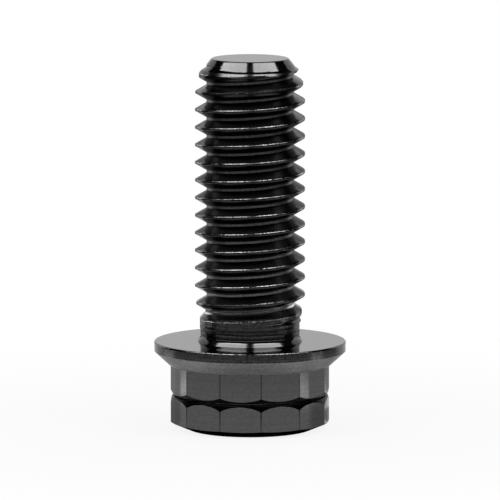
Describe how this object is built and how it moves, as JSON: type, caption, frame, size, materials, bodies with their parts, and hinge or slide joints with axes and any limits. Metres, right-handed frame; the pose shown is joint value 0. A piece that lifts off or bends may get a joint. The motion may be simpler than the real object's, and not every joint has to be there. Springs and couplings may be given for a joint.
{
  "type": "flange bolt",
  "caption": "Black steel flange bolt with a metric thread, a round flange and a waisted twelve-sided head, standing on the end of its head.",
  "frame": {"origin": "middle of the flange's bearing face, on the thread's axis", "axes": "+Z along the thread from the bearing face to the point, with the head on the negative side; X and Y across the bolt, each through the middle of a flat of the head"},
  "size_m": [0.0136, 0.0136, 0.0264],
  "materials": {
    "black_steel": "polished"
  },
  "bodies": {
    "root": {"flange_bolt": "black_steel"}
  },
  "joints": []
}
